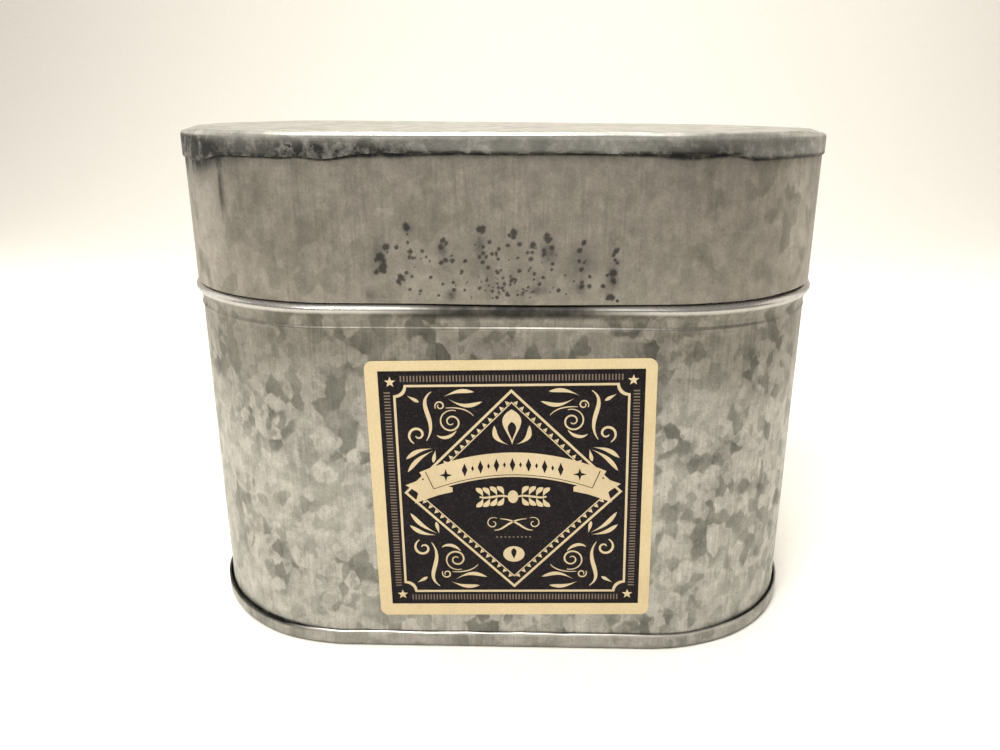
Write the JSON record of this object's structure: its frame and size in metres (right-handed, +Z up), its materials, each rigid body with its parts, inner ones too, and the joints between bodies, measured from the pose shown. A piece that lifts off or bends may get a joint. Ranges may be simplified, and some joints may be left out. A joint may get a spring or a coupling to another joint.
{
  "type": "oval candle tin",
  "caption": "Oval galvanised candle tin with a lift-off lid, a shoulder bead, a flanged base, a square paper label and a wax fill with wicks.",
  "frame": {"origin": "middle of the base's underside, on the surface the tin stands on", "axes": "+X along the tin's length to the label's right, +Y to the back, +Z up"},
  "size_m": [0.1216, 0.0646, 0.0962],
  "materials": {
    "body_sheet": "matte galvanised spangle with fine vertical striations",
    "base_sheet": "matte galvanised, slightly darker, bright raw edge",
    "lid_sheet": "matte galvanised, warmer, with dark corrosion dots",
    "lid_top_sheet": "galvanised, dark tarnish under its flange",
    "solder": "dull solder",
    "label": "satin tan paper with a near-black printed panel",
    "wax": "soft translucent soy wax",
    "wick": "braided waxed cotton",
    "wick_tab": "bright tinned steel",
    "sticker": "white foam adhesive"
  },
  "bodies": {
    "tin": {"body_wall": "body_sheet", "body_seam_solder": "solder", "base_pan": "base_sheet", "base_solder": "solder", "front_label": "label", "wax_fill": "wax", "wick_left": "wick", "wick_right": "wick", "wick_tab_left": "wick_tab", "wick_tab_right": "wick_tab", "wick_sticker_left": "sticker", "wick_sticker_right": "sticker"},
    "lid": {"lid_skirt": "lid_sheet", "lid_seam_solder": "solder", "lid_top": "lid_top_sheet", "lid_top_solder": "solder"}
  },
  "joints": [
    {"name": "lid_lift", "type": "slide", "parent": "tin", "child": "lid", "axis": [0, 0, 1], "range_m": [0, 0.05]}
  ]
}
